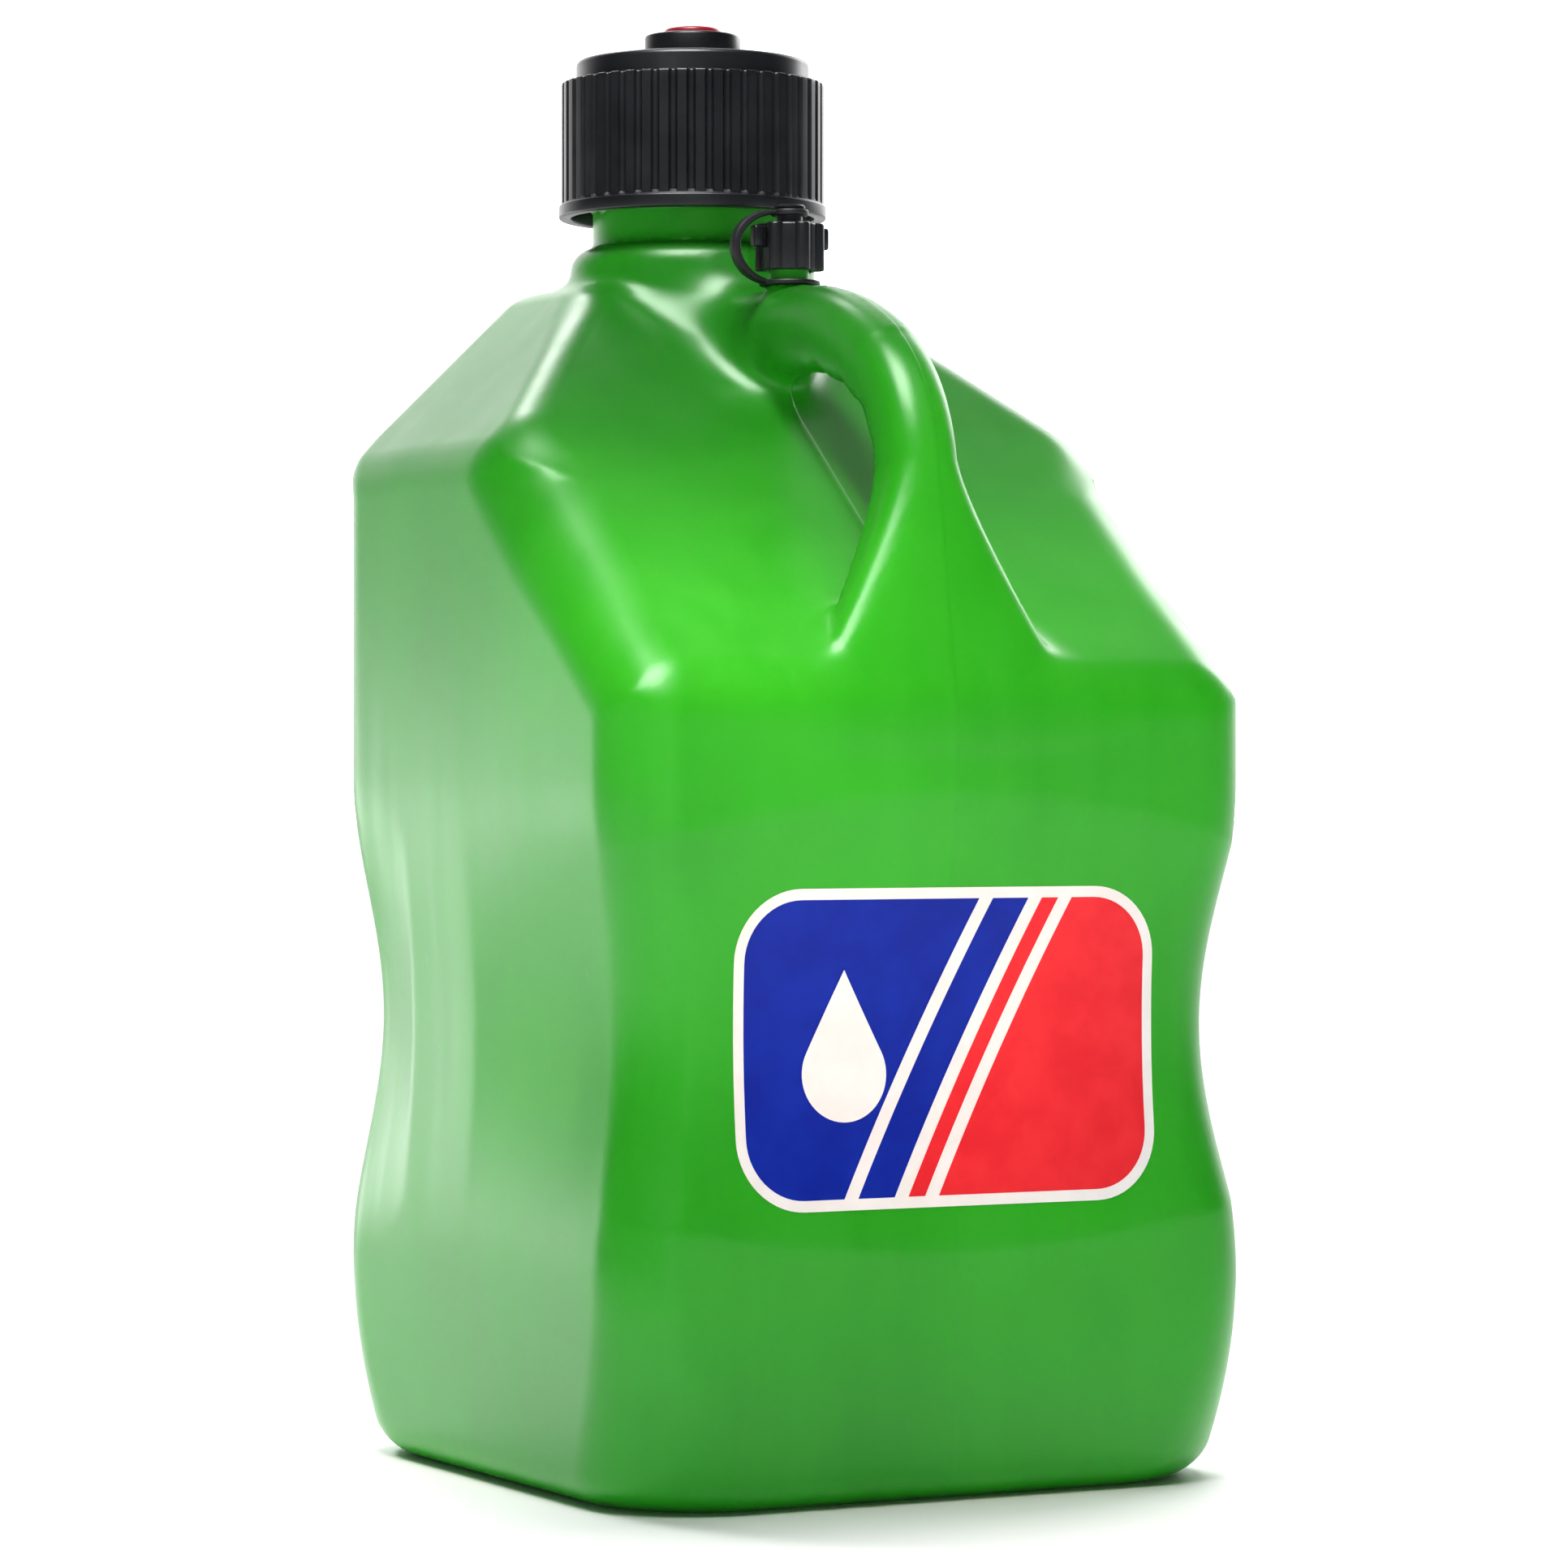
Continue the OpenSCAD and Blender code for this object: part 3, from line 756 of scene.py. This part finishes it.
def build_port():
    seat, flange = PORT_Z + 2.6, PORT_Z + 1.1
    nut_r, nut_bore, nut_hole = 18.8, 14.9, 11.3
    nut = filleted(
        [
            (nut_bore, NUT_LOW), (nut_r, NUT_LOW), (nut_r, NUT_TOP),
            (nut_hole, NUT_TOP), (nut_hole, seat), (nut_bore, seat),
        ],
        [0.3, 0.7, 1.1, 0.6, 0.2, 0.2],
    )
    ring = revolve("jug_port_nut", nut, NECK_Y, 128)
    finish_piece(ring, BLACK, "nut", "black_plastic", "port_nut")
    shank_r, flange_r, knob_r, knob_edge = 8.6, 14.4, 11.0, 1.6
    profile = [
        (0, 530.9), (shank_r - 0.8, 530.9), (shank_r, 531.7), (shank_r, flange),
        (flange_r - 0.4, flange), (flange_r, flange + 0.4), (flange_r, flange + 1),
        (flange_r - 0.4, flange + 1.4), (knob_r, flange + 1.4), (knob_r, PLUG_TOP - knob_edge),
    ]
    profile += [
        (knob_r - knob_edge * (1 - math.cos(a)), PLUG_TOP - knob_edge + 1.3 * math.sin(a))
        for a in np.linspace(0.3, 1.4, 5)
    ]
    profile += [(6, PLUG_TOP - 0.1), (0, PLUG_TOP)]
    plug = solid_turned("jug_port_plug", profile, NECK_Y, 96)
    finish_piece(plug, RED, "port", "red_plastic", "port_plug")
    seal = washer("jug_port_seal", (8.7, 13.6), (PORT_Z + 0.15, PORT_Z + 1.05), 0.4, 96)
    finish_piece(seal, RUBBER, "port", "seal_rubber", "port_seal")
    gasket = washer("jug_cap_gasket", (31.5, 44.0), (526.65, 529.55), 0.5, 128)
    finish_piece(gasket, RUBBER, "cap_liner", "seal_rubber", "cap_gasket")


def build_vent():
    low, top, roof = 451.0, 469.0, 465.0
    core_r, bore_r, lobe_r, hole_r = 10.6, 8.4, 3.1, 2.2

    def lobes(r, th, z):
        """Swells the cap's side into six round grip lobes."""
        reach = core_r - 0.6
        phase = th % (np.pi / 3) - np.pi / 6
        off = reach * np.sin(phase)
        out = reach * np.cos(phase) + np.sqrt(np.maximum(lobe_r**2 - off**2, 0))
        bulge = np.where(np.abs(off) < lobe_r, np.maximum(out, core_r), core_r)
        return np.where(r > 9, r - core_r + bulge, r)

    outline = filleted(
        [
            (hole_r, roof), (bore_r, roof), (bore_r, low),
            (core_r, low), (core_r, top), (hole_r, top),
        ],
        [0.2, 0.4, 0.4, 0.7, 1.0, 0.2],
    )
    cap = revolve("jug_vent_cap", outline[::-1], VENT_Y, 216, lobes)
    wing_in, wing_out, wing_half, wing_low, wing_top = 10.4, 15.9, 2.2, 459.6, 467.8
    for side in (-1, 1):
        a, b = sorted((side * wing_in, side * wing_out))
        lo, hi = (a, VENT_Y - wing_half, wing_low), (b, VENT_Y + wing_half, wing_top)
        combine(cap, bevelled_box("wing", lo, hi, 0.9), "UNION")
    stem_r, head_r = 4.8, 5.9
    stem = [
        (0, 464.2), (stem_r, 464.2), (stem_r, 474.6), (head_r - 0.4, 474.6),
        (head_r, 474.9), (head_r, 475.5), (5.3, 476.0), (0, 476.0),
    ]
    combine(cap, solid_turned("stem", stem, VENT_Y, 64), "UNION")
    finish_piece(cap, BLACK, "vent", "black_plastic", "vent_cap")
    disc = [(0, 463.15), (6.9, 463.15), (7.3, 463.5), (7.3, 464.3), (6.9, 464.65), (0, 464.65)]
    gasket = solid_turned("jug_vent_gasket", disc, VENT_Y, 64)
    finish_piece(gasket, RUBBER, "vent_liner", "seal_rubber", "vent_gasket")


def build_tether():
    """Strap on a half ellipse between a low eye on the spout and an upper one on the stem."""
    low_z, high_z, start_x, bow = 446.3, 472.9, -6.8, 16.4
    rise = (high_z - low_z) / 2
    half_width, power = 2.5, 0.7
    low_eye = filleted([(7.6, 445.4), (11.6, 445.4), (11.6, 447.3), (7.6, 447.3)], 0.6)
    upper_eye = filleted([(5.05, 471.9), (7.2, 471.9), (7.2, 474.2), (5.05, 474.2)], 0.6)
    tether = revolve("jug_vent_tether", low_eye, VENT_Y, 72)
    points, steps, n = [], 40, 12
    for i in range(steps + 1):
        a = math.pi / 2 + math.pi * i / steps
        c, s = math.cos(a), math.sin(a)
        x, z = start_x + bow * c, low_z + rise + rise * s
        nx, nz = c / bow, s / rise
        ln = math.hypot(nx, nz)
        nx, nz = nx / ln, nz / ln
        swell = math.sin(math.pi * i / steps)
        thick = min(1.35 + 0.35 * swell, 0.85 + swell)
        for k in range(n):
            t = 2 * math.pi * k / n
            u = thick * math.copysign(abs(math.cos(t)) ** power, math.cos(t))
            w = half_width * math.copysign(abs(math.sin(t)) ** power, math.sin(t))
            points.append((x + nx * u, VENT_Y + w, z + nz * u))
    faces = []
    for i in range(steps):
        for k in range(n):
            k1 = (k + 1) % n
            faces.append((i * n + k, (i + 1) * n + k, (i + 1) * n + k1, i * n + k1))
    faces.append(tuple(range(n)))
    faces.append(tuple(steps * n + k for k in reversed(range(n))))
    strap = make("strap", points, faces)
    bm = bmesh.new()
    bm.from_mesh(strap.data)
    bmesh.ops.recalc_face_normals(bm, faces=bm.faces)
    bm.to_mesh(strap.data)
    bm.free()
    combine(tether, strap, "UNION")
    combine(tether, revolve("upper_eye", upper_eye, VENT_Y, 72), "UNION")
    finish_piece(tether, SOFT_BLACK, None, "tether_plastic", "vent_tether")
    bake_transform(tether)


build_cap()
build_port()
build_vent()
build_tether()

# Label -------------------------------------------------------------------------------------

LABEL_A, LABEL_B, LABEL_Z, LABEL_R = 86.0, 57.0, 163.0, 26.0
BORDER = 4
BAND_SLOPE = math.radians(62)


def on_front(x, z, lift):
    """Depth of a point that stands a little way off the bottle's front face."""
    y = np.full(x.shape, -HALF)
    for _ in range(8):
        y = y + bottle(x, y, z)
    return y - lift


def rounded_rect(a, b, r):
    pts = filleted([(-a, -b), (a, -b), (a, b), (-a, b)], r, 14)
    return [(float(q[0]), float(q[1])) for q in pts]


def drop_outline(cx, cz, r, tip):
    start = math.asin(r / tip)
    pts = [(cx, cz + tip)]
    for a in np.linspace(math.pi - start, 2 * math.pi + start, 40):
        pts.append((cx + r * math.cos(a), cz + r * math.sin(a)))
    return pts


def label_layer(name, outline, cuts, low, high, material):
    """Thin closed film between two heights over the bottle's front face."""
    bm = bmesh.new()
    bm.faces.new([bm.verts.new((x, 0, z)) for x, z in outline])

    def cut(point, normal, clear=False):
        bmesh.ops.bisect_plane(
            bm,
            geom=bm.verts[:] + bm.edges[:] + bm.faces[:],
            plane_co=(point[0], 0, point[1]),
            plane_no=(normal[0], 0, normal[1]),
            clear_outer=clear,
        )

    for point, normal in cuts:
        cut(point, normal, True)
    for z in np.arange(-60, 61, 5.0):
        cut((0, z), (0, 1))
    for x in np.arange(-88, 89, 11.0):
        cut((x, 0), (1, 0))
    bmesh.ops.triangulate(bm, faces=[f for f in bm.faces if len(f.verts) > 4])
    bmesh.ops.recalc_face_normals(bm, faces=bm.faces)
    bm.normal_update()
    if bm.faces and sum(f.normal.y * f.calc_area() for f in bm.faces) > 0:
        bmesh.ops.reverse_faces(bm, faces=bm.faces)
    front = bm.verts[:]
    rim = [e for e in bm.edges if e.is_boundary]
    faces = bm.faces[:]
    flat = np.array([(v.co.x, v.co.z) for v in front])
    x, z = flat[:, 0], flat[:, 1] + LABEL_Z
    y_low, y_high = on_front(x, z, low), on_front(x, z, high)
    twin = {}
    for k, v in enumerate(front):
        twin[v] = bm.verts.new((x[k] * MM, y_low[k] * MM, z[k] * MM))
        v.co = (x[k] * MM, y_high[k] * MM, z[k] * MM)
    for f in faces:
        bm.faces.new([twin[v] for v in reversed(f.verts)])
    for e in rim:
        f = e.link_faces[0]
        loop = next(l for l in f.loops if l.edge == e)
        a, b = loop.vert, loop.link_loop_next.vert
        bm.faces.new((b, a, twin[a], twin[b]))
    mesh = bpy.data.meshes.new(name)
    bm.to_mesh(mesh)
    bm.free()
    mesh.shade_smooth()
    mesh.set_sharp_from_angle(angle=math.radians(40))
    return finish_piece(add_object(name, mesh), material, "container", "label_film")


def build_label():
    """White film with two fields and two stripes of colour on a slant, and a drop."""
    film = rounded_rect(LABEL_A, LABEL_B, LABEL_R)
    base = label_layer("jug_label_base", film, [], 0.08, 0.3, WHITE_INK)
    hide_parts("front_label")
    field = rounded_rect(LABEL_A - BORDER, LABEL_B - BORDER, LABEL_R - BORDER)
    across = (math.sin(BAND_SLOPE), -math.cos(BAND_SLOPE))

    def band(lo, hi):
        """Cuts that leave only the part of the field between two slanted lines."""
        a = ((across[0] * hi, across[1] * hi), across)
        b = ((across[0] * lo, across[1] * lo), (-across[0], -across[1]))
        return [a, b]

    for name, lo, hi, ink in (
        ("jug_label_blue", -200, -14, BLUE_INK),
        ("jug_label_stripe_blue", -9, 4, BLUE_INK),
        ("jug_label_stripe_red", 9, 15, RED_INK),
        ("jug_label_red", 20, 200, RED_INK),
    ):
        label_layer(name, field, band(lo, hi), 0.31, 0.38, ink)
    label_layer("jug_label_drop", drop_outline(-42, -9, 17, 37), [], 0.39, 0.46, WHITE_INK)


build_label()

# Floor and light ---------------------------------------------------------------------------


def build_stage():
    mesh = bpy.data.meshes.new("floor")
    half = 30
    corners = [(-half, -half, 0), (half, -half, 0), (half, half, 0), (-half, half, 0)]
    mesh.from_pydata(corners, [], [(0, 1, 2, 3)])
    floor = add_object("floor", mesh)
    n = Nodes("studio_floor")
    tone = n.mix(n.remap(n.noise(3, 2), 0, 1), (0.88, 0.88, 0.88), (0.9, 0.9, 0.9))
    n.link(tone, n.shader.inputs["Base Color"])
    n.shader.inputs["Roughness"].default_value = 0.6
    n.shader.inputs["Specular IOR Level"].default_value = 0.4
    mesh.materials.append(n.mat)
    return floor


def place_light(name, data, place, target):
    light = add_object(name, data)
    light.location = place
    light.rotation_mode = "QUATERNION"
    light.rotation_quaternion = (Vector(target) - Vector(place)).to_track_quat("-Z", "Y")
    light.visible_camera = False
    return light


def add_area(name, place, target, size, power, glossy=True, diffuse=True):
    """Soft box. Without glossy it makes no highlight, and without diffuse it makes nothing else."""
    data = bpy.data.lights.new(name, "AREA")
    data.shape, data.size, data.size_y = "RECTANGLE", size[0], size[1]
    data.energy = power
    light = place_light(name, data, place, target)
    light.visible_glossy = glossy
    light.visible_diffuse = diffuse


def add_spot(name, place, target, power, angle, radius, colour=(1, 1, 1)):
    data = bpy.data.lights.new(name, "SPOT")
    data.energy, data.spot_size, data.spot_blend = power, math.radians(angle), 1.0
    data.shadow_soft_size, data.color = radius, colour
    light = place_light(name, data, place, target)
    light.visible_glossy = False
    return light


def add_floor_light(floor):
    """Wide light that only the floor takes, so that it stays white and keeps the jug's shadow."""
    data = bpy.data.lights.new("floor_light", "SUN")
    data.energy, data.angle = 3.0, math.radians(30)
    light = place_light("floor_light", data, (0.5, 0.7, 3), (0, 0, 0))
    lit = bpy.data.collections.new("floor_only")
    lit.objects.link(floor)
    light.light_linking.receiver_collection = lit
    pool = add_spot("floor_pool", (-0.7, 1.4, 1.8), (-0.42, 0.5, 0), 200, 46, 0.3)
    pool.light_linking.receiver_collection = lit


def build_world():
    """White behind the jug and to its sides, dim on the camera's side; always white to look at."""
    world = bpy.data.worlds.new("studio")
    world.use_nodes = True
    n = Graph(world.node_tree)
    n.tree.nodes.clear()
    a = math.radians(AZIMUTH)
    facing = n.add("ShaderNodeVectorMath", operation="DOT_PRODUCT")
    facing.inputs[1].default_value = (math.sin(a), math.cos(a), 0.1)
    n.link(n.add("ShaderNodeTexCoord").outputs["Generated"], facing.inputs[0])
    ramp = n.remap(facing.outputs["Value"], 0.04, 2.6, 0.35, 1.05)
    path = n.add("ShaderNodeLightPath").outputs
    soften = n.math("SUBTRACT", 1.0, n.math("MULTIPLY", path["Is Diffuse Ray"], 0.75))
    seen = n.math("MAXIMUM", path["Is Camera Ray"], n.math("MULTIPLY", ramp, soften))
    back = n.add("ShaderNodeBackground")
    back.inputs["Color"].default_value = (1, 1, 1, 1)
    n.link(seen, back.inputs["Strength"])
    n.link(back.outputs["Background"], n.add("ShaderNodeOutputWorld").inputs["Surface"])
    bpy.context.scene.world = world


def build_light(floor):
    """The studio. The soft boxes top and back_right light the jug, and front its label side.
    ball, crest and sheen make only highlights: on the shoulder's corner, along the ridges and on
    the left face. The glows brighten the slope, as light does that shines through the plastic."""
    build_world()
    bpy.context.scene.view_settings.view_transform = "Standard"
    add_floor_light(floor)
    add_area("top", (-0.5, -0.7, 2.3), (0, -0.05, 0.3), (0.6, 0.6), 22, glossy=False)
    add_area("ball", (-0.72, -0.78, 2.2), (-0.1, -0.1, 0.3), (1.25, 1.25), 100, diffuse=False)
    add_area("crest", (0.03, 1.3, 1.92), (-0.08, 0.02, 0.41), (0.4, 0.4), 8, diffuse=False)
    add_spot("glow", (-0.42, -0.62, 1.1), (-0.078, -0.115, 0.305), 108, 13, 0.08, (1, 0.62, 0.42))
    add_spot("glow_right", (0.3, -0.75, 1.0), (0.085, -0.1, 0.318), 40, 12, 0.08, (1, 0.66, 0.5))
    add_spot("front", (-0.7, -2.4, 0.3), (-0.02, -0.13, 0.14), 92, 17, 0.35)
    add_area("sheen", (-0.74, 1.9, 0.08), (-0.13, 0.0, 0.12), (0.5, 0.44), 4.4, diffuse=False)
    add_area("back_right", (2.0, 1.0, 1.4), (0.1, 0, 0.35), (1.0, 1.0), 12)


FLOOR = build_stage()
build_light(FLOOR)
